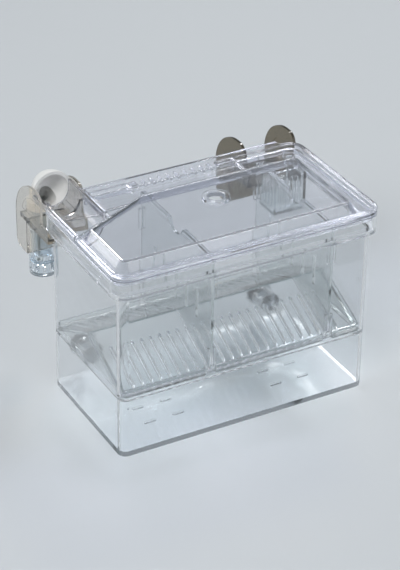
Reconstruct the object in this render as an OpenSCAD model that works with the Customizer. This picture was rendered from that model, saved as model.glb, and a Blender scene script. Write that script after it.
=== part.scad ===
// Hang-on fish breeding box: a clear tank that hangs outside an aquarium's glass.
// An air-driven lift tube fills it and a spout at the back returns the water.
// X runs left to right, +Y points to the aquarium and +Z is up.
// The origin is the centre of the tank's flat underside.

/* [Tank] */
// Length of the collar band, left to right
collar_l = 165; // [160:1:172]
// Depth of the collar band, front to back
collar_w = 94; // [92:1:98]
// Height of the tank without its lid
tank_h = 113.5; // [112:0.5:116]
// Height of the collar band
collar_h = 10.6; // [9:0.2:12]
// How far the body is set in under the collar
body_inset = 4; // [3.5:0.5:5]
// Wall thickness of the tank
wall = 2; // [1.6:0.2:2.4]
// Height of the ledge that carries the slotted floor
ledge_z = 37.5; // [34:0.5:40]

/* [Lid] */
// Height of the rim bead above the tank
lid_rim_h = 3.9; // [3:0.1:5]
// Height of the raised panel above the rim bead
panel_rise = 5; // [3:0.5:7]
// Thickness of the lid's sheet
lid_t = 1.6; // [1.2:0.2:2]
// Radius of the feeding port
port_r = 5.2; // [4:0.1:6]
// Number of vent slots behind the panel
vent_count = 10; // [6:1:10]

/* [Hooks] */
// Height of the seat that rests on the aquarium's glass
seat_z = 95; // [92:0.5:96]
// Clear gap behind the collar for the aquarium's glass and rim
glass_gap = 19; // [16:0.5:20]
// Height of the hooks' cheeks
hook_top = 120.7; // [120.4:0.1:122]
// Lower end of the hooks
hook_bottom = 75; // [70:1:80]

/* [Water lift] */
// Centre of the water inlet along the tank
inlet_x = -68.8; // [-69:0.1:-68.6]
// Height of the middle of the elbow's mouth
mouth_z = 115.5; // [115.3:0.1:116]
// Outer radius of the lift tube
tube_r = 5.5; // [5:0.1:5.5]
// Travel of the telescopic sleeve
sleeve_travel = 12; // [8:1:13]

/* [Inside] */
// Height of the slotted floor's ridge above its foot
ridge_rise = 20; // [16:1:24]
// Distance between two slits
slit_pitch = 5.63; // [5.2:0.01:5.8]
// Slits in each leaf of the floor
slit_count = 24; // [8:1:24]
// Places of the two dividers along the tank
divider_left_x = -22; // [-26:0.5:-18]
divider_right_x = 53.3; // [53:0.1:53.6]

/* [Stand-off spacers] */
// Distance of each spacer from the middle
spacer_x = 58; // [40:1:60]
// Height of the spacers
spacer_z = 20; // [14:1:24]
// Travel of each spacer
spacer_travel = 9; // [6:0.5:9]

/* [Hidden] */

$fn = 64;
cut = 1;       // overshoot of every cutting solid
slip = 0.3;    // clearance between pieces that only pass each other
fit = 0.06;    // radial clearance of a sliding fit

// Tank
body_l = collar_l - 2*body_inset;
body_w = collar_w - 2*body_inset;
in_l = body_l - 2*wall;
in_w = body_w - 2*wall;
collar_z = tank_h - collar_h;
collar_back = collar_w/2;
body_back = body_w/2;
collar_r = 9;
body_r = collar_r - body_inset;
inner_r = body_r - wall;
floor_t = 2.5;
ledge_w = 3;
ledge_t = 2;
guide_t = 1.4;
guide_reach = 1.4;
guide_h = 13;
guide_low_z = ledge_z + 4;
guide_top_z = collar_z - 2;

// Lid
lid_z = tank_h + 0.2;
rim_top = lid_z + lid_rim_h;
panel_top = rim_top + panel_rise;
rim_w = 3;
ridge_h = 0.8;
lid_lip = 2.6;
panel_flare = 5;
panel_r = 3;
panel_corners = [[-71.5, -35.5], [63, -35.5], [63, 18], [-31.8, 18], [-71.5, -1.7]];
notch_corner = [-55.5, 16.2];
notch_rim = [-85, 2];
port_at = [1.7, -1.4];
rail_t = 1.8;
rail_h = 2.2;
rail_x0 = -60;
rail_x1 = collar_l/2 - collar_r - 1.5;
rail_ramp = 4;
vent_pitch = 5.3;
vent_w = 3.9;
vent_y0 = 39.6;
vent_y1 = collar_back - rail_t;
vent_x0 = 0.8 - (vent_count - 1)/2*vent_pitch;
frame_w = 1.2;
strip_ribs = [[-29.9, vent_y0 - 3], [38.3, 24]];
strip_rib_w = 1.4;

// Hooks
leg_y = collar_back + glass_gap;
leg_t = 1.6;
cheek_t = 1.6;
cheek_band = 7;
cheek_gap = 0.5;     // keeps the cheeks clear of the lid
seat_t = 2;
hook_reach = leg_y + 14.5;
hook_arc = 24;
hook_nose = 6;
toe_r = 6;
spout_x0 = 47.5;
spout_x1 = collar_l/2;
inlet_x0 = -collar_l/2;
inlet_x1 = 2*inlet_x - inlet_x0;
bracket_t = 3;
bracket_r = 8.4;
bracket_gap = 0.1;

// Water lift
tube_bottom = 68;
tube_bore = tube_r - 1.3;
sleeve_r = tube_r + fit + 1.34;
grip_r = sleeve_r + 0.4;
tube_y = leg_y + leg_t + grip_r + slip;
mouth_r = 11.6;
mouth_y = 60;
dome_r = 11;
dome_y = mouth_y + 2;
elbow_t = 1.3;
neck_r = 5.9;
neck_z = mouth_z - 7.5;
neck_y = dome_y + 4;
socket_r = 7.8;
socket_h = 5;
tube_top = neck_z - neck_r;
sleeve_top = 86;
sleeve_bottom = 63.5;
strainer_r = sleeve_r + 1.2;
strainer_z = 55.5;
strainer_h = 10;
nozzle_y = tube_y + 12.5;
nozzle_z = strainer_z + 4;
nozzle_r = 2.4;
nozzle_neck = 5;
nozzle_top = nozzle_z + 15;
arm_r = 3;
channel_r = mouth_r - 0.6;
channel_t = 1.4;
channel_back = mouth_y - 0.4;
channel_top = mouth_z + 5.1;
channel_lip = 1.6;

// Inside
floor_half_l = in_l/2 - 0.6;
floor_half_w = in_w/2 - 0.4;
floor_z = ledge_z + 0.15;
ridge_z = floor_z + ridge_rise;
sheet_t = 1.4;
leaf_drop = 1.9;
skirt_h = 4.5;
slope_foot = floor_z + 2.4;
slit_w = 1.8;
slit_front = 4.6;
slit_l = 25;
slits_x = -2.85;
divider_t = 1.6;
divider_top = tank_h - 2;
guard_x0 = 56;
guard_x1 = in_l/2 - 0.5;
guard_y0 = 24;
guard_z0 = 84;
sill_z = seat_z + seat_t;
window_x1 = guard_x0 + 17.5;

// Stand-off spacers
spacer_bore = 4.05;
spacer_r = spacer_bore - fit;
boss_r = 6.2;
boss_depth = 13;
head_r = 8;
head_t = 2;
pad_t = 1.6;

// ---------- shared shapes ----------

// Rectangle with true round corners, centred
module round_rect(l, w, r) {
    square([l - 2*r, w], center = true);
    square([l, w - 2*r], center = true);
    for (sx = [-1, 1], sy = [-1, 1])
        translate([sx*(l/2 - r), sy*(w/2 - r)]) circle(r);
}

// Upright plate with round corners between two heights
module plate(l, w, r, z0, z1) {
    translate([0, 0, z0]) linear_extrude(z1 - z0) round_rect(l, w, r);
}

// Quarter disc in the first quadrant
module quadrant(r) {
    intersection() {
        circle(r);
        square(r);
    }
}

// Stretches an outline drawn in Y and Z along X
module along_x(x0, x1) {
    translate([x0, 0, 0]) rotate([90, 0, 90]) linear_extrude(x1 - x0) children();
}

// Cylinder along Y between two places
module rod_y(x, z, r, y0, y1) {
    translate([x, y0, z]) rotate([-90, 0, 0]) cylinder(r = r, h = y1 - y0);
}

// Box between two corners
module block(low, high) {
    translate(low) cube(high - low);
}

// Slot with round ends along Y, cut straight down
module slot_y(x, y0, y1, w, z0, z1) {
    block([x - w/2, y0 + w/2, z0], [x + w/2, y1 - w/2, z1]);
    for (y = [y0 + w/2, y1 - w/2])
        translate([x, y, z0]) cylinder(d = w, h = z1 - z0);
}

// ---------- tank ----------

// Pair of ribs on the inside of a long wall that hold a divider's edge
module guide_pair(x, side) {
    gap = divider_t/2 + slip;
    for (s = [-1, 1], z = [guide_low_z, guide_top_z - guide_h])
        translate([x + s*(gap + guide_t/2), side*(in_w/2 - guide_reach/2), z + guide_h/2])
            cube([guide_t, guide_reach + 0.4, guide_h], center = true);
}

// Blind socket that a spacer's stem slides in
module spacer_boss(x) {
    rod_y(x, spacer_z, boss_r, body_back - boss_depth, body_back - wall/2);
}

// Raised dashes on the floor that keep gravel and stones off it
module floor_dashes() {
    dash = [7, 1.4, 1];
    for (sx = [-1, 1], x = [32, 50], y = [-22, -7, 8])
        translate([sx*x - dash[0]/2, y, floor_t - 0.2]) cube(dash);
}

module tank() {
    color([0.86, 0.93, 0.95, 0.4]) {
        difference() {
            union() {
                plate(body_l, body_w, body_r, 0, collar_z + wall);
                plate(collar_l, collar_w, collar_r, collar_z, tank_h);
            }
            plate(in_l, in_w, inner_r, floor_t, tank_h);
            plate(collar_l - 2*wall, collar_w - 2*wall, collar_r - wall, collar_z + wall, tank_h + cut);
            // rear notch for the inlet channel
            rod_y(inlet_x, mouth_z, channel_r + slip, body_back - 4, collar_back + cut);
            // rear window for the outflow
            block([guard_x0, body_back - 2*wall, sill_z], [window_x1, collar_back + cut, tank_h + cut]);
            // sockets for the spacers
            for (s = [-1, 1])
                rod_y(s*spacer_x, spacer_z, spacer_bore, body_back - wall - cut, body_back + cut);
        }
        // ledge for the slotted floor
        difference() {
            plate(in_l + wall, in_w + wall, body_r - wall/2, ledge_z - ledge_t, ledge_z);
            plate(in_l - 2*ledge_w, in_w - 2*ledge_w, inner_r, ledge_z - ledge_t - cut, ledge_z + cut);
        }
        for (side = [-1, 1]) {
            guide_pair(divider_left_x, side);
            guide_pair(divider_right_x, side);
        }
        for (s = [-1, 1]) difference() {
            spacer_boss(s*spacer_x);
            rod_y(s*spacer_x, spacer_z, spacer_bore, body_back - boss_depth + wall, body_back + cut);
        }
        floor_dashes();
    }
}

// ---------- hooks ----------

// What rounding takes off a corner at the origin whose sides run to -X and -Y
module corner_off(r) {
    difference() {
        translate([-r, -r]) square(r + cut);
        translate([-r, -r]) circle(r);
    }
}

// Arch of a hook above its seat, in Y and Z, drawn in by a margin
module hook_arch(margin = 0) {
    front = collar_back + cheek_gap + margin;
    back = hook_reach - margin;
    top = hook_top - margin;
    difference() {
        translate([front, seat_z + margin]) square([back - front, top - seat_z - margin]);
        translate([back, top]) corner_off(hook_arc - margin);
        if (margin < hook_nose) translate([front, top]) mirror([1, 0]) corner_off(hook_nose - margin);
    }
}

// Leg of a hook behind the glass, in Y and Z
module hook_leg() {
    translate([leg_y, hook_bottom + toe_r]) square([hook_reach - leg_y, seat_z - hook_bottom - toe_r + cut]);
    translate([leg_y, hook_bottom]) square([hook_reach - leg_y - toe_r, toe_r + cut]);
    translate([hook_reach - toe_r, hook_bottom + toe_r]) mirror([0, 1]) quadrant(toe_r);
}

// Cheek of a hook with a raised band round its arch; outer cheeks reach forward under the collar
module cheek(x0, inner_side, forward) {
    recess = 0.5;
    face = inner_side > 0 ? x0 + cheek_t - recess : x0 - cut;
    difference() {
        along_x(x0, x0 + cheek_t) {
            hook_arch();
            hook_leg();
            translate([forward, seat_z]) square([collar_back + 2*cheek_gap - forward, collar_z - seat_z]);
        }
        along_x(face, face + recess + cut) hook_arch(cheek_band);
    }
}

// Seat between the tank's rear wall and a hook's leg, with the leg's front wall
module hook_seat(x0, x1, thick) {
    difference() {
        block([x0, body_back - body_r, seat_z], [x1, leg_y + leg_t, seat_z + thick]);
        plate(body_l, body_w, body_r, seat_z - cut, seat_z + thick + cut);
    }
    block([x0, leg_y, hook_bottom], [x1, leg_y + leg_t, seat_z + thick]);
}

module outflow_hook() {
    color([0.42, 0.38, 0.30, 0.6]) {
        cheek(spout_x0, 1, body_back);
        cheek(spout_x1 - cheek_t, -1, collar_back - collar_r);
        hook_seat(spout_x0, spout_x1, seat_t);
    }
}

module inlet_hook() {
    color([0.42, 0.38, 0.30, 0.6]) {
        cheek(inlet_x0, 1, collar_back - collar_r);
        cheek(inlet_x1 - cheek_t, -1, body_back);
        difference() {
            union() {
                hook_seat(inlet_x0, inlet_x1, bracket_t);
                block([inlet_x0, leg_y, seat_z], [inlet_x1, tube_y, seat_z + bracket_t]);
                translate([inlet_x, tube_y, seat_z]) cylinder(r = bracket_r, h = bracket_t);
            }
            translate([inlet_x, tube_y, seat_z - cut])
                cylinder(r = tube_r + bracket_gap, h = bracket_t + 2*cut);
        }
    }
}

// ---------- lid ----------

// Raised panel as a solid frustum with its chamfered rear corner
module panel_form(inset) {
    hull() for (p = panel_corners) {
        translate([p[0], p[1], lid_z - (inset > 0 ? cut : 0)])
            cylinder(r = panel_r + panel_flare - inset, h = 0.1 + (inset > 0 ? cut : 0), $fn = 32);
        translate([p[0], p[1], panel_top - 0.1 - inset]) cylinder(r = panel_r, h = 0.1, $fn = 32);
    }
}

// Plan of the corner that is left open for the inlet channel
module notch_plan() {
    polygon([notch_rim, notch_corner, [notch_corner[0], 60], [notch_rim[0], 60]]);
}

// Upright lip along the open corner
module notch_lip() {
    lip_w = 1.4;
    run = notch_corner - notch_rim;
    side = [run[1], -run[0]]/norm(run)*lip_w;
    inner_x = notch_corner[0] + lip_w;
    inner_y = notch_rim[1] + side[1] + (inner_x - notch_rim[0] - side[0])*run[1]/run[0];
    intersection() {
        translate([0, 0, lid_z]) linear_extrude(rim_top - 0.4 - lid_z) polygon([
            notch_rim, notch_corner, [notch_corner[0], collar_back + cut], [inner_x, collar_back + cut],
            [inner_x, inner_y], notch_rim + side
        ]);
        plate(collar_l, collar_w, collar_r, lid_z, rim_top);
    }
}

// Band along the lid's outline between two distances from its edge
module rim_band(outer, inner, z0, z1) {
    difference() {
        plate(collar_l - 2*outer, collar_w - 2*outer, collar_r - outer, z0, z1);
        plate(collar_l - 2*inner, collar_w - 2*inner, collar_r - inner, z0 - cut, z1 + cut);
    }
}

// Rim bead with two ridges along its top
module rim_bead() {
    rim_band(0, rim_w, lid_z, rim_top - ridge_h);
    rim_band(0.3, 1.3, lid_z, rim_top);
    rim_band(rim_w - 1.1, rim_w - 0.1, lid_z, rim_top);
}

// Rail that stands on the rear rim, with a ramp at its right end
module rear_rail() {
    translate([0, collar_back, 0]) rotate([90, 0, 0]) linear_extrude(rail_t) polygon([
        [rail_x0, lid_z], [rail_x1, lid_z], [rail_x1, rim_top - ridge_h],
        [rail_x1 - rail_ramp, rim_top + rail_h], [rail_x0, rim_top + rail_h]
    ]);
}

module lid() {
    strip_top = lid_z + lid_t;
    color([0.88, 0.93, 0.95, 0.4]) difference() {
        union() {
            difference() {
                union() {
                    plate(collar_l, collar_w, collar_r, lid_z, strip_top);
                    rim_bead();
                    // locating lip inside the collar
                    rim_band(wall + 0.4, wall + 1.8, lid_z - lid_lip, lid_z + 0.2);
                    panel_form(0);
                    rear_rail();
                    // raised plate of the vent slots
                    block([strip_ribs[0][0], vent_y0 - frame_w, lid_z], [strip_ribs[1][0], vent_y1 + cut, rim_top]);
                    // cross ribs on the rear strip
                    for (p = strip_ribs)
                        block([p[0] - strip_rib_w/2, p[1], lid_z],
                              [p[0] + strip_rib_w/2, collar_back - rim_w + 0.4, strip_top + 1.6]);
                }
                panel_form(lid_t);
                linear_extrude(panel_top + cut) notch_plan();
                // hollow below the vent plate, where the locating lip stops too
                block([strip_ribs[0][0] + frame_w, vent_y0, lid_z - lid_lip - cut],
                      [strip_ribs[1][0] - frame_w, vent_y1, rim_top - lid_t]);
            }
            notch_lip();
            // ring of the feeding port
            translate([port_at[0], port_at[1], panel_top - lid_t]) cylinder(r = port_r + 2.6, h = lid_t + 1.6);
        }
        translate([port_at[0], port_at[1], panel_top - 2*lid_t]) cylinder(r = port_r, h = 4*lid_t);
        for (i = [0 : vent_count - 1])
            translate([vent_x0 + i*vent_pitch - vent_w/2, 0, 0])
                block([0, vent_y0, rim_top - lid_t - cut], [vent_w, vent_y1, rim_top + cut]);
    }
}

// ---------- water lift ----------

module inlet_channel() {
    left = inlet_x - channel_r + channel_t;
    right = inlet_x + channel_r;
    rail_back = collar_back - 0.6;
    color([0.88, 0.93, 0.95, 0.4]) difference() {
        union() {
            difference() {
                rod_y(inlet_x, mouth_z, channel_r, 0, channel_back);
                rod_y(inlet_x, mouth_z, channel_r - channel_t, -cut, channel_back + cut);
                block([inlet_x - 20, -cut, mouth_z], [inlet_x + 20, channel_back + cut, mouth_z + 20]);
            }
            // high right wall with a lip along its top
            block([right - channel_t, 0, mouth_z], [right, channel_back, channel_top]);
            block([right - channel_t, 0, channel_top - 1.2], [right + channel_lip, rail_back, channel_top]);
            // bead that carries on the lid's rim along the tank's left wall
            intersection() {
                rim_bead();
                block([inlet_x0 - cut, 0, lid_z], [left, collar_back, rim_top]);
            }
            block([inlet_x0 + rim_w/2, 0, lid_z], [left - 0.2, collar_back - collar_r, lid_z + 1.5]);
        }
        // front end follows the lid's open corner
        translate([0, 0, mouth_z - 20]) linear_extrude(40) polygon([
            notch_rim + [0, -20], notch_rim + [0, 0.9], notch_corner + [0, 0.9], notch_corner + [10, 6],
            notch_corner + [10, -40]
        ]);
    }
}

module elbow() {
    foot_z = seat_z + bracket_t + 0.1;
    color([0.93, 0.93, 0.92]) difference() {
        union() {
            rod_y(inlet_x, mouth_z, mouth_r, mouth_y, mouth_y + 1.6);
            rod_y(inlet_x, mouth_z, dome_r, mouth_y, dome_y);
            translate([inlet_x, dome_y, mouth_z]) sphere(dome_r);
            translate([inlet_x, neck_y, neck_z]) sphere(neck_r);
            rod_y(inlet_x, neck_z, neck_r, neck_y, tube_y);
            translate([inlet_x, tube_y, neck_z]) sphere(neck_r);
            translate([inlet_x, tube_y, foot_z]) cylinder(r = neck_r, h = neck_z - foot_z);
            translate([inlet_x, tube_y, foot_z]) cylinder(r = socket_r, h = socket_h);
        }
        // inside of the hood
        rod_y(inlet_x, mouth_z, dome_r - elbow_t, mouth_y - cut, dome_y);
        translate([inlet_x, dome_y, mouth_z]) sphere(dome_r - elbow_t);
        // way down to the lift tube
        translate([inlet_x, neck_y, neck_z]) sphere(neck_r - elbow_t);
        rod_y(inlet_x, neck_z, neck_r - elbow_t, neck_y, tube_y);
        translate([inlet_x, tube_y, neck_z]) sphere(neck_r - elbow_t);
        translate([inlet_x, tube_y, foot_z - cut]) cylinder(r = tube_bore, h = neck_z - foot_z);
        translate([inlet_x, tube_y, foot_z - cut]) cylinder(r = tube_r, h = tube_top - foot_z + cut);
        // everything in front of the mouth
        block([inlet_x - 20, mouth_y - 20, mouth_z - 30], [inlet_x + 20, mouth_y, mouth_z + 30]);
    }
}

module lift_tube() {
    color([0.80, 0.90, 0.95, 0.5]) translate([inlet_x, tube_y, tube_bottom]) difference() {
        cylinder(r = tube_r, h = tube_top - tube_bottom);
        translate([0, 0, -cut]) cylinder(r = tube_bore, h = tube_top - tube_bottom + 2*cut);
    }
}

module lift_sleeve() {
    color([0.80, 0.90, 0.95, 0.5]) translate([inlet_x, tube_y, sleeve_bottom]) difference() {
        union() {
            cylinder(r = sleeve_r, h = sleeve_top - sleeve_bottom);
            for (z = [sleeve_top - sleeve_bottom - 1.6, sleeve_top - sleeve_bottom - 4.4])
                translate([0, 0, z]) cylinder(r = grip_r, h = 1.6);
        }
        translate([0, 0, -cut]) cylinder(r = tube_r + fit, h = sleeve_top - sleeve_bottom + 2*cut);
    }
}

module intake_strainer() {
    slots = 10;
    cap_t = 1.6;
    color([0.80, 0.90, 0.95, 0.5]) translate([inlet_x, tube_y, strainer_z]) difference() {
        cylinder(r = strainer_r, h = strainer_h);
        translate([0, 0, sleeve_bottom - strainer_z]) cylinder(r = sleeve_r, h = strainer_h);
        translate([0, 0, cap_t]) cylinder(r = tube_r + fit, h = strainer_h);
        for (i = [0 : slots - 1])
            rotate([0, 0, (i + 0.5)*360/slots + 90]) translate([0, -0.7, 2.6])
                cube([strainer_r + cut, 1.4, 4.6]);
        translate([0, 0, nozzle_z - strainer_z]) rotate([-90, 0, 0]) cylinder(r = arm_r, h = strainer_r + cut);
    }
}

module air_nozzle() {
    bore_r = 1.2;
    color([0.93, 0.93, 0.92]) difference() {
        union() {
            rod_y(inlet_x, nozzle_z, arm_r, tube_y + tube_r + 0.8, nozzle_y);
            translate([inlet_x, nozzle_y, nozzle_z]) sphere(arm_r);
            translate([inlet_x, nozzle_y, nozzle_z]) cylinder(r = arm_r, h = nozzle_neck);
            translate([inlet_x, nozzle_y, nozzle_z]) cylinder(r = nozzle_r, h = nozzle_top - nozzle_z);
        }
        translate([inlet_x, nozzle_y, nozzle_z]) cylinder(r = bore_r, h = nozzle_top - nozzle_z + cut);
        rod_y(inlet_x, nozzle_z, bore_r, tube_y, nozzle_y);
    }
}

// ---------- slotted floor ----------

// Section of the front leaf in Y and Z; the rear leaf mirrors it
module leaf_section() {
    w = floor_half_w;
    polygon([
        [-w, floor_z], [-w + 3.5, floor_z], [0, ridge_z - leaf_drop], [0, ridge_z],
        [-w + sheet_t, slope_foot], [-w + sheet_t, floor_z + skirt_h], [-w, floor_z + skirt_h]
    ]);
}

module floor_leaf() {
    w = floor_half_w;
    relief = divider_t + 2*slip + 2*guide_t + 1.4;
    difference() {
        along_x(-floor_half_l, floor_half_l) leaf_section();
        for (i = [0 : slit_count - 1])
            slot_y(slits_x + (i - (slit_count - 1)/2)*slit_pitch, -w + slit_front, -w + slit_front + slit_l,
                   slit_w, floor_z - cut, ridge_z + cut);
        // gaps that pass the divider guides
        for (x = [divider_left_x, divider_right_x])
            block([x - relief/2, -w - cut, floor_z - cut], [x + relief/2, -w + 1.4, floor_z + 8]);
        // room for the tank's round corners
        for (s = [-1, 1])
            translate([s*floor_half_l, -w, floor_z]) rotate([0, 0, 45])
                cube([inner_r, inner_r, 2*ridge_rise], center = true);
    }
}

module fry_floor_front() {
    color([0.85, 0.90, 0.92, 0.45]) floor_leaf();
}

module fry_floor_rear() {
    color([0.85, 0.90, 0.92, 0.45]) mirror([0, 1, 0]) floor_leaf();
}

// Upright end below the two leaves
module floor_end(side) {
    w = floor_half_w - 5;
    x = side*(floor_half_l - 1.5*sheet_t);
    color([0.85, 0.90, 0.92, 0.45]) along_x(x - sheet_t/2, x + sheet_t/2)
        polygon([[-w, floor_z], [w, floor_z], [w, floor_z + 0.4], [0, ridge_z - leaf_drop], [-w, floor_z + 0.4]]);
}

// ---------- dividers ----------

module divider(x) {
    w = in_w/2 - 0.3;
    foot = floor_z + skirt_h + 0.6;
    inner = floor_half_w - sheet_t - 0.5;
    grip_r = 9;
    color([0.85, 0.92, 0.93, 0.4]) difference() {
        union() {
            along_x(x - divider_t/2, x + divider_t/2) polygon([
                [-w, foot], [-inner, foot], [-inner, slope_foot + 0.9], [0, ridge_z + 0.6],
                [inner, slope_foot + 0.9], [inner, foot], [w, foot], [w, divider_top], [-w, divider_top]
            ]);
            block([x - divider_t/2 - 0.6, -w, divider_top - 3], [x + divider_t/2 + 0.6, w, divider_top]);
        }
        // finger scoop
        translate([x - 5, 0, divider_top + 3]) rotate([0, 90, 0]) cylinder(r = grip_r, h = 10);
        // water slots
        for (i = [-2 : 2])
            block([x - 5, i*12 - 1, 66], [x + 5, i*12 + 1, 84]);
    }
}

module divider_left() {
    divider(divider_left_x);
}

module divider_right() {
    divider(divider_right_x);
}

// Slotted basket that keeps fish out of the outflow
module outflow_guard() {
    top = tank_h - 2;
    back = in_w/2 - slip;
    slot_z0 = guard_z0 + 4;
    slot_z1 = top - 5;
    pitch = 3.4;
    color([0.85, 0.92, 0.93, 0.45]) difference() {
        union() {
            intersection() {
                block([guard_x0, guard_y0, guard_z0], [guard_x1, back, top]);
                plate(in_l - 2*slip, in_w - 2*slip, inner_r, guard_z0, top);
            }
            // tongue that rests on the window's sill
            block([guard_x0 + 1, back - 1, sill_z + 0.2], [window_x1 - 1, body_back + 1, sill_z + 1.4]);
        }
        block([guard_x0 + sheet_t, guard_y0 + sheet_t, guard_z0 + sheet_t],
              [window_x1 - sheet_t, back - sheet_t, top + cut]);
        block([guard_x0 + sheet_t, guard_y0 + sheet_t, guard_z0 + sheet_t],
              [guard_x1 - sheet_t, body_back - body_r - sheet_t, top + cut]);
        // opening to the window
        block([guard_x0 + sheet_t, back - 2*sheet_t, sill_z + 1.4], [window_x1 - sheet_t, back + cut, top + cut]);
        for (i = [0 : 4])
            block([guard_x0 + 3 + i*pitch, guard_y0 - cut, slot_z0],
                  [guard_x0 + 4.6 + i*pitch, guard_y0 + 3, slot_z1]);
        for (i = [0 : 3])
            block([guard_x0 - cut, guard_y0 + 3 + i*pitch, slot_z0],
                  [guard_x0 + 3, guard_y0 + 4.6 + i*pitch, slot_z1]);
    }
}

// ---------- stand-off spacers ----------

module spacer(x) {
    head_y = body_back + 0.2;
    grips = 8;
    color([0.80, 0.90, 0.95, 0.5]) difference() {
        union() {
            rod_y(x, spacer_z, spacer_r, body_back - boss_depth + wall + 0.4, head_y + cut);
            rod_y(x, spacer_z, head_r, head_y, head_y + head_t);
        }
        // grooves that a fingertip feels as clicks
        for (i = [0 : 2])
            translate([x, body_back - 9 + 2.6*i, spacer_z]) rotate([-90, 0, 0]) difference() {
                cylinder(r = spacer_r + cut, h = 0.6);
                translate([0, 0, -cut]) cylinder(r = spacer_r - 0.35, h = 0.6 + 2*cut);
            }
        // finger grips round the head
        for (i = [0 : grips - 1])
            translate([x, head_y - cut, spacer_z]) rotate([-90, 0, 0])
                rotate([0, 0, i*360/grips]) translate([head_r + 0.8, 0, 0]) cylinder(r = 1.8, h = head_t + 2*cut);
    }
}

module spacer_pad(x) {
    pad_y = body_back + 0.2 + head_t;
    color([0.16, 0.16, 0.17]) difference() {
        rod_y(x, spacer_z, head_r - 1.2, pad_y, pad_y + pad_t);
        rod_y(x, spacer_z, head_r - 3.6, pad_y + pad_t - 0.6, pad_y + pad_t + cut);
    }
}

tank();
inlet_hook();
outflow_hook();
lid();
inlet_channel();
elbow();
lift_tube();
lift_sleeve();
intake_strainer();
air_nozzle();
fry_floor_front();
fry_floor_rear();
floor_end(-1);  // floor_end_left
floor_end(1);  // floor_end_right
divider_left();
divider_right();
outflow_guard();
spacer(-spacer_x);  // spacer_left
spacer(spacer_x);  // spacer_right
spacer_pad(-spacer_x);  // spacer_pad_left
spacer_pad(spacer_x);  // spacer_pad_right
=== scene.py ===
# %% [markdown]
# # Hang-on fish breeding box
#
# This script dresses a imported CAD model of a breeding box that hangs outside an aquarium. The solids
# stay where the CAD put them. Here they get their plastics and rubber, then a floor, light and a
# camera. Every size is in metres, with +X along the tank, +Y towards the aquarium and +Z up.

# %% load the frame
import math

import bpy
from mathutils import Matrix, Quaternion, Vector


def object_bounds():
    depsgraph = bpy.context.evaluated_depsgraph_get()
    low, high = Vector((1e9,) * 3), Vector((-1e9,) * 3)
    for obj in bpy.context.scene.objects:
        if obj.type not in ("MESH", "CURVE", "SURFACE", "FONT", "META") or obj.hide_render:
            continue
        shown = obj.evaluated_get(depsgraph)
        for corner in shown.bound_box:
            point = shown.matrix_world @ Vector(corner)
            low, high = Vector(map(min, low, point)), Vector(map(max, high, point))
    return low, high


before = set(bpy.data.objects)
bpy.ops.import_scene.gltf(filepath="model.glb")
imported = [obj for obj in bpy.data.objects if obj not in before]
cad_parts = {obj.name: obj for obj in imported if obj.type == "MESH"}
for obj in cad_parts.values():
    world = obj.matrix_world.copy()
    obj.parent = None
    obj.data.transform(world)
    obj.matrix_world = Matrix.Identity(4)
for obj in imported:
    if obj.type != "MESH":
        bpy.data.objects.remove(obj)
cad_low, cad_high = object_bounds()
print("CAD box, mm:", [round(v * 1000, 1) for v in cad_low], [round(v * 1000, 1) for v in cad_high])

# %% [markdown]
# ## Colours and nodes
#
# Colours are written as sRGB hex codes and turned into linear light by one function. One helper adds a
# shader node and fills its sockets.

# %% helpers


def linear(code):
    """Linear RGB and alpha of an sRGB hex code such as "f2f2ee"."""
    out = []
    for i in (0, 2, 4):
        value = int(code[i:i + 2], 16) / 255
        out.append(value / 12.92 if value <= 0.04045 else ((value + 0.055) / 1.055) ** 2.4)
    return (*out, 1.0)


def add_node(tree, kind, inputs=None, **settings):
    """Adds a node, sets its settings, and gives each named input a value or a link from a socket."""
    node = tree.nodes.new(kind)
    for name, value in settings.items():
        setattr(node, name, value)
    for name, value in (inputs or {}).items():
        if isinstance(value, bpy.types.NodeSocket):
            tree.links.new(value, node.inputs[name])
        else:
            node.inputs[name].default_value = value
    return node


def new_material(name):
    """An empty node material and its output node."""
    material = bpy.data.materials.new(name)
    material.use_nodes = True
    material.node_tree.nodes.clear()
    output = add_node(material.node_tree, "ShaderNodeOutputMaterial")
    return material, material.node_tree, output


def per_mm(size_mm):
    """Texture scale whose features are about size_mm across, for object coordinates in metres."""
    return 1000.0 / size_mm


print("hex 808080 is", round(linear("808080")[0], 3), "in linear light")

# %% [markdown]
# ## Clear styrene and acrylic
#
# On the real box the tank, the lid and the inserts are injection moulded from clear styrene in polished
# steel tools. Such a surface is nearly as smooth as the tool: reflections are sharp, the walls are
# faintly wavy where the melt flowed, and handling leaves a soft haze in patches a few centimetres wide
# with hairline scuffs in it. The lift tube is an extruded acrylic pipe, a little clearer and smoother
# than the mouldings. The hooks are the same styrene with a smoke dye.
#
# A clear solid could be drawn with a thin see-through coat, with a glass shader, or with a full
# transmission shader. The last is chosen, because every piece here is a closed solid with true wall
# thickness: its edges then gather light and go dark or bright as cut edges of clear plastic do. Two
# noises multiplied give the haze and scuffs to the roughness, a third wide and very low noise gives the
# waviness to the bump, and rounded normals soften the solids' sharp edges by a few tenths of a
# millimetre, as every mould does.

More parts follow.
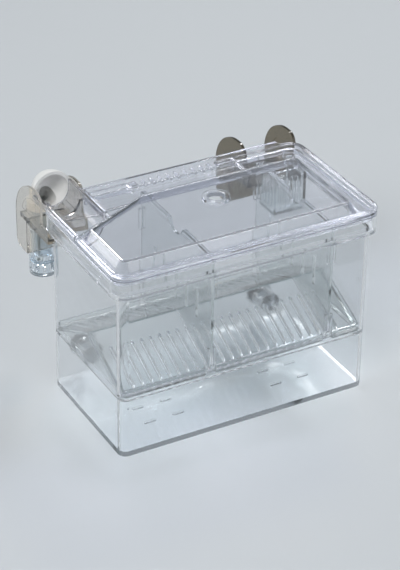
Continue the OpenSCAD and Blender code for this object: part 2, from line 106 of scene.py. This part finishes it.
# %% values of clear plastics
STYRENE_IOR = 1.59
ACRYLIC_IOR = 1.49
HAZE_MM = 28             # a hand's touch, a few centimetres wide
SCUFF_MM = 1.6           # real scuffs are finer, drawn coarser so that they show
CLEAN = 0.12             # haze times scuffs on a clean place
WORN = 0.42              # haze times scuffs on a worn place
HAZE_DEPTH = 0.07        # how much rougher the worn places are
FLOW_MM = 22             # length of the waves in a moulded wall
FLOW_HEIGHT = 0.002      # height of the waves in metres, at full strength
FLOW_STRENGTH = 0.02     # share of that height, as a polished wall is nearly flat
EDGE_ROUND = 0.0003      # radius a mould leaves on a sharp edge, in metres
LID_EDGE_ROUND = 0.0005  # the lid's panel and rim have rounder edges
EDGE_SAMPLES = 4         # rays that look for an edge near each point
print("edges drawn round by", EDGE_ROUND * 1000, "mm, on the lid by", LID_EDGE_ROUND * 1000, "mm")

# %% [markdown]
# ## Letting light out of clear walls
#
# Two things that real light does would take far too many rays here, so the shader steps in. A clear
# thing has a light shadow, so shadow rays pass straight through with the plastic's tint. And light that
# runs along inside a wall comes out at its edges and makes them bright, where a renderer that gives up
# after some bounces draws them black. More bounces would cure that slowly, and they are a render
# setting. Here a ray that has been reflected or has crossed surfaces too often goes straight on.

# %% letting light out
GLOSSY_LIMIT = 2.5   # a third reflection inside a wall lets light out
THROUGH_LIMIT = 7.5  # an eighth surface crossed lets light out


def straight_through(tree):
    """1 for a shadow ray and for light that has bounced too often inside the walls, otherwise 0."""
    path = add_node(tree, "ShaderNodeLightPath")
    caught = add_node(
        tree, "ShaderNodeMath",
        {0: path.outputs["Glossy Depth"], 1: GLOSSY_LIMIT}, operation="GREATER_THAN",
    )
    far = add_node(
        tree, "ShaderNodeMath",
        {0: path.outputs["Transmission Depth"], 1: THROUGH_LIMIT}, operation="GREATER_THAN",
    )
    let_out = add_node(
        tree, "ShaderNodeMath", {0: caught.outputs[0], 1: far.outputs[0]}, operation="MAXIMUM"
    )
    straight = add_node(
        tree, "ShaderNodeMath",
        {0: path.outputs["Is Shadow Ray"], 1: let_out.outputs[0]}, operation="MAXIMUM",
    )
    return straight.outputs[0]


print("light is let out from reflection", math.ceil(GLOSSY_LIMIT), "or surface", math.ceil(THROUGH_LIMIT))

# %% clear plastic


def clear_plastic(name, tint, polish, ior=STYRENE_IOR, edge=EDGE_ROUND):
    """Clear plastic of a tint. polish is its lowest roughness and edge the radius of its edges."""
    material, tree, output = new_material(name)
    place = add_node(tree, "ShaderNodeTexCoord").outputs["Object"]
    # haze from handling, in wide patches
    haze = add_node(
        tree, "ShaderNodeTexNoise", {"Vector": place, "Scale": per_mm(HAZE_MM), "Detail": 3.0}
    )
    scuffs = add_node(
        tree, "ShaderNodeTexNoise", {"Vector": place, "Scale": per_mm(SCUFF_MM), "Detail": 6.0}
    )
    worn = add_node(
        tree, "ShaderNodeMath",
        {0: haze.outputs["Fac"], 1: scuffs.outputs["Fac"]}, operation="MULTIPLY",
    )
    rough = add_node(
        tree, "ShaderNodeMapRange",
        {
            "Value": worn.outputs[0],
            "From Min": CLEAN,
            "From Max": WORN,
            "To Min": polish,
            "To Max": polish + HAZE_DEPTH,
        },
    )
    soft_edge = add_node(tree, "ShaderNodeBevel", {"Radius": edge}, samples=EDGE_SAMPLES)
    # waves that the flowing melt left
    flow = add_node(
        tree, "ShaderNodeTexNoise", {"Vector": place, "Scale": per_mm(FLOW_MM), "Detail": 1.0}
    )
    bump = add_node(
        tree, "ShaderNodeBump",
        {
            "Height": flow.outputs["Fac"],
            "Strength": FLOW_STRENGTH,
            "Distance": FLOW_HEIGHT,
            "Normal": soft_edge.outputs["Normal"],
        },
    )
    body = add_node(
        tree, "ShaderNodeBsdfPrincipled",
        {
            "Base Color": linear(tint),
            "Roughness": rough.outputs["Result"],
            "IOR": ior,
            "Transmission Weight": 1.0,
            "Normal": bump.outputs["Normal"],
        },
    )
    through = add_node(tree, "ShaderNodeBsdfTransparent", {"Color": linear(tint)})
    both = add_node(
        tree, "ShaderNodeMixShader",
        {0: straight_through(tree), 1: body.outputs[0], 2: through.outputs[0]},
    )
    tree.links.new(both.outputs[0], output.inputs["Surface"])
    return material


print("clear plastic with haze over", HAZE_MM, "mm and scuffs of", SCUFF_MM, "mm")

# %% the clear plastics of the box
# Tank: clear styrene, moulded with a high polish; the eye gets clean walls and bright edges.
shell = clear_plastic("clear_moulded_styrene", "f8f9fa", 0.015)
# Lid and channel: the same styrene with a faint blue cast. The edges are rounder than the tank's, so
# the eye sees a lamp in them as a bright line.
lid_clear = clear_plastic("clear_moulded_styrene_lid", "f3f4fa", 0.012, edge=LID_EDGE_ROUND)
# Floor, dividers and guard: styrene from a plainer tool; the eye gets a faint satin.
insert = clear_plastic("satin_moulded_styrene", "f2f5f5", 0.05)
# Lift tube, sleeve, strainer and spacers: acrylic; it bends light less, so the eye gets softer edges.
tube = clear_plastic("clear_extruded_acrylic", "f2f6f9", 0.02, ACRYLIC_IOR)
# Right hook: styrene with a smoke dye; the eye gets a brown-grey that is still clear.
smoke = clear_plastic("smoke_dyed_styrene", "756a54", 0.03)
# Left hook: the same dye in a trace; the eye gets a warm grey close to clear.
pale_smoke = clear_plastic("faintly_smoke_dyed_styrene", "e6e1d9", 0.03)
print("clear plastics:", [m.name for m in (shell, lid_clear, insert, tube, smoke, pale_smoke)])

# %% [markdown]
# ## White ABS and silicone rubber
#
# The elbow and the air nipple are opaque white mouldings of ABS. Its skin copies a finely blasted tool:
# a satin gloss with a grain that is felt more than seen, and with age it yellows in soft patches. The
# spacer pads are moulded silicone rubber, dark, matt and slightly dusty at a low angle.
#
# A plain colour would look like paint, so the colour wanders between two near shades, and one fine
# noise drives both the polish and the grain of the bump, which keeps the bright and dull spots on the
# same bumps.

# %% white ABS and silicone rubber
ABS_IOR = 1.54
SILICONE_IOR = 1.41
PATCH_MM = 12          # width of the yellowed or dusty patches
PATCH_FROM = 0.35      # noise at which the darker shade begins to give way
PATCH_TO = 0.62        # noise from which only the lighter one is left
GRAIN_LOW = 0.3        # noise in the hollows of the grain
GRAIN_HIGH = 0.7       # noise on its tops
POLISH_SPREAD = 0.12   # how much duller the tops of the grain are
GRAIN_STRENGTH = 0.12  # share of the grain's depth, as it is felt more than seen


def solid_plastic(name, light, shade, rough, grain_mm, depth, ior, sheen=0.0):
    """Opaque plastic or rubber of two shades, with a grain of a width in mm and a depth in metres."""
    material, tree, output = new_material(name)
    place = add_node(tree, "ShaderNodeTexCoord").outputs["Object"]
    patches = add_node(
        tree, "ShaderNodeTexNoise", {"Vector": place, "Scale": per_mm(PATCH_MM), "Detail": 4.0}
    )
    colour = add_node(tree, "ShaderNodeValToRGB", {"Fac": patches.outputs["Fac"]})
    colour.color_ramp.elements[0].position = PATCH_FROM
    colour.color_ramp.elements[0].color = linear(shade)
    colour.color_ramp.elements[1].position = PATCH_TO
    colour.color_ramp.elements[1].color = linear(light)
    # a blasted tool's grain is nearer 0.1 mm, here it is drawn coarser so that it shows
    grain = add_node(
        tree, "ShaderNodeTexNoise", {"Vector": place, "Scale": per_mm(grain_mm), "Detail": 5.0}
    )
    polish = add_node(
        tree, "ShaderNodeMapRange",
        {
            "Value": grain.outputs["Fac"],
            "From Min": GRAIN_LOW,
            "From Max": GRAIN_HIGH,
            "To Min": rough,
            "To Max": rough + POLISH_SPREAD,
        },
    )
    soft_edge = add_node(tree, "ShaderNodeBevel", {"Radius": EDGE_ROUND}, samples=EDGE_SAMPLES)
    bump = add_node(
        tree, "ShaderNodeBump",
        {
            "Height": grain.outputs["Fac"],
            "Strength": GRAIN_STRENGTH,
            "Distance": depth,
            "Normal": soft_edge.outputs["Normal"],
        },
    )
    body = add_node(
        tree, "ShaderNodeBsdfPrincipled",
        {
            "Base Color": colour.outputs["Color"],
            "Roughness": polish.outputs["Result"],
            "IOR": ior,
            "Sheen Weight": sheen,
            "Normal": bump.outputs["Normal"],
        },
    )
    tree.links.new(body.outputs[0], output.inputs["Surface"])
    return material


print("solid plastic with patches of", PATCH_MM, "mm")

# %% the opaque materials of the box
# Elbow and nipple: white ABS, satin; the eye gets soft round highlights.
white = solid_plastic("white_moulded_abs", "eeeeec", "e2e2df", 0.28, 0.6, 0.00008, ABS_IOR)
# Spacer pads: silicone rubber, matt; the eye gets a soft edge of light from fine dust.
rubber = solid_plastic("dark_silicone_rubber", "47484b", "3c3d40", 0.6, 0.4, 0.0002, SILICONE_IOR, 0.15)
print("opaque materials:", white.name, rubber.name)

# %% [markdown]
# ## Giving each CAD piece its material
#
# On the real box each moulding is of one material, so a solid needs one finish. Materials could be
# given by name patterns or by place, but one table that names every solid is easy to read and to
# check, and nothing is left undressed.

# %% dress the pieces
FINISH = {
    "tank": shell,
    "inlet_hook": pale_smoke,
    "outflow_hook": smoke,
    "lid": lid_clear,
    "inlet_channel": lid_clear,
    "elbow": white,
    "lift_tube": tube,
    "lift_sleeve": tube,
    "intake_strainer": tube,
    "air_nozzle": white,
    "fry_floor_front": insert,
    "fry_floor_rear": insert,
    "floor_end_left": insert,
    "floor_end_right": insert,
    "divider_left": insert,
    "divider_right": insert,
    "outflow_guard": insert,
    "spacer_left": tube,
    "spacer_right": tube,
    "spacer_pad_left": rubber,
    "spacer_pad_right": rubber,
}
for node_name, material in FINISH.items():
    piece = bpy.data.objects[node_name]
    piece.data.materials.clear()
    piece.data.materials.append(material)
print("dressed", len(FINISH), "pieces")

# %% [markdown]
# ## Floor
#
# The box is clear, so whatever stands behind it shows through it. A flat floor would end in a horizon
# line that runs across the tank in a low view. The floor here is a wide shallow bowl instead, which
# curves up into a wall on all sides, and every view gets the same plain backdrop. The background's
# tone is the paper's own colour, so the lamps can stay at a plain level. The floor stays close below
# the tank and doesn't touch it, because two surfaces in one place flicker.

# %% shape of the floor
FLOOR_REACH = 2.6    # from the middle out to the wall
FLOOR_CURVE = 0.8    # radius of the curve between floor and wall
WALL_TOP = 2.0       # height of the wall
MIDDLE_REACH = 0.39  # radius of the flat disc that the rings start from
FLOOR_GAP = 0.0002   # room below the tank's underside
ROUND_STEPS = 96     # corners of each ring
CURVE_STEPS = 16     # rings in the curve


def bowl_mesh(name):
    """A round floor that curves up into a wall on all sides."""
    flat = FLOOR_REACH - FLOOR_CURVE
    profile = [(MIDDLE_REACH, 0.0), (flat, 0.0)]
    for i in range(1, CURVE_STEPS + 1):
        angle = math.pi / 2 * i / CURVE_STEPS
        profile.append((flat + FLOOR_CURVE * math.sin(angle), FLOOR_CURVE - FLOOR_CURVE * math.cos(angle)))
    profile.append((FLOOR_REACH, WALL_TOP))
    verts = []
    for radius, z in profile:
        for k in range(ROUND_STEPS):
            turn = 2 * math.pi * k / ROUND_STEPS
            verts.append((radius * math.cos(turn), radius * math.sin(turn), z - FLOOR_GAP))
    faces = [tuple(range(ROUND_STEPS))]
    for ring in range(len(profile) - 1):
        for k in range(ROUND_STEPS):
            a = ring * ROUND_STEPS + k
            b = ring * ROUND_STEPS + (k + 1) % ROUND_STEPS
            faces.append((a, a + ROUND_STEPS, b + ROUND_STEPS, b))
    mesh = bpy.data.meshes.new(name)
    mesh.from_pydata(verts, [], faces)
    mesh.polygons.foreach_set("use_smooth", [True] * len(faces))
    return mesh


print("floor", 2 * FLOOR_REACH, "m wide with a wall", WALL_TOP, "m high")

# %% floor
# Floor and backdrop: pale matt paper; the eye gets a soft even tone that holds the light shadow.
floor_material, floor_tree, floor_output = new_material("pale_paper_floor")
floor_shade = add_node(
    floor_tree, "ShaderNodeBsdfPrincipled", {"Base Color": linear("c6cacd"), "Roughness": 0.8}
)
floor_tree.links.new(floor_shade.outputs[0], floor_output.inputs["Surface"])
floor = bpy.data.objects.new("floor", bowl_mesh("floor"))
bpy.context.collection.objects.link(floor)
floor.data.materials.append(floor_material)
print("floor of", len(floor.data.polygons), "faces")

# %% [markdown]
# ## Light
#
# Clear plastic has hardly any colour of its own. The eye reads it by what it mirrors, and by the
# bright and dark lines along its edges. An even sky alone would leave the walls a flat grey, and hard
# lamps would put burnt spots on them. So a pale sky fills the scene and four soft lamps help it. The
# key lamp, high on the left, gives the shadow its direction. Each of the others stands where one
# family of the lid's faces mirrors it to the camera: the slope along its front, the slope on its left,
# and the rounded front edge of its raised panel. The view transform is Standard, so a colour comes out
# about as it is written.

# %% lamps


def area_lamp(name, where, aim, size, power):
    """A soft square lamp at where that points to aim."""
    data = bpy.data.lights.new(name, "AREA")
    data.shape = "SQUARE"
    data.size = size
    data.energy = power
    lamp = bpy.data.objects.new(name, data)
    lamp.location = where
    lamp.rotation_mode = "QUATERNION"
    lamp.rotation_quaternion = (Vector(aim) - Vector(where)).to_track_quat("-Z", "Y")
    lamp.visible_camera = False
    bpy.context.collection.objects.link(lamp)


# name, place, width and power in watts
LAMPS = (
    ("key_lamp", (-1.1, -0.6, 1.2), 0.6, 12.0),
    ("front_bevel_lamp", (0.67, -1.32, 0.66), 1.2, 4.5),
    ("left_bevel_lamp", (-1.05, 1.19, 0.26), 0.5, 2.5),
    ("edge_lamp", (0.54, 0.61, 1.07), 0.3, 5.0),
)
centre = (cad_low + cad_high) / 2
for lamp_name, place, width, watts in LAMPS:
    area_lamp(lamp_name, place, centre, width, watts)
print("lamps:", [lamp[0] for lamp in LAMPS])

# %% sky
SKY_STRENGTH = 0.6
world = bpy.data.worlds.new("studio")
bpy.context.scene.world = world
world.use_nodes = True
world_tree = world.node_tree
world_tree.nodes.clear()
sky = add_node(world_tree, "ShaderNodeBackground", {"Color": linear("f1f4f7"), "Strength": SKY_STRENGTH})
world_output = add_node(world_tree, "ShaderNodeOutputWorld")
world_tree.links.new(sky.outputs[0], world_output.inputs["Surface"])
bpy.context.scene.view_settings.view_transform = "Standard"
print("sky of strength", SKY_STRENGTH)

# %% [markdown]
# ## Camera
#
# The picture was taken from the front left, about 31 degrees above the horizon. Its upright edges stay
# nearly parallel, which a camera gives when it stands far off with a long lens. The lens is worked
# out from the distance and from how much of the scene the upright picture has to show from bottom to
# top. The small roll puts the tank's edges at the angles they have in the picture.

# %% camera
AZIMUTH = math.radians(-29.25)
ELEVATION = math.radians(31.2)
ROLL = math.radians(0.9)
DISTANCE = 1.2       # from the camera to the point it looks at
VIEW_HEIGHT = 0.325  # what the picture shows at that distance, from bottom to top
SENSOR_MM = 36.0
target = Vector((0.0, 0.012, 0.060))  # the point in the middle of the picture
back = Vector((
    math.sin(AZIMUTH) * math.cos(ELEVATION),
    -math.cos(AZIMUTH) * math.cos(ELEVATION),
    math.sin(ELEVATION),
))
camera_data = bpy.data.cameras.new("camera")
camera_data.sensor_width = SENSOR_MM
camera_data.lens = SENSOR_MM * DISTANCE / VIEW_HEIGHT
camera_data.clip_start = 0.05
camera_data.clip_end = 20.0
camera = bpy.data.objects.new("camera", camera_data)
camera.location = target + back * DISTANCE
camera.rotation_mode = "QUATERNION"
camera.rotation_quaternion = (-back).to_track_quat("-Z", "Y") @ Quaternion((0, 0, 1), ROLL)
bpy.context.collection.objects.link(camera)
bpy.context.scene.camera = camera
print("camera with a lens of", round(camera_data.lens), "mm")
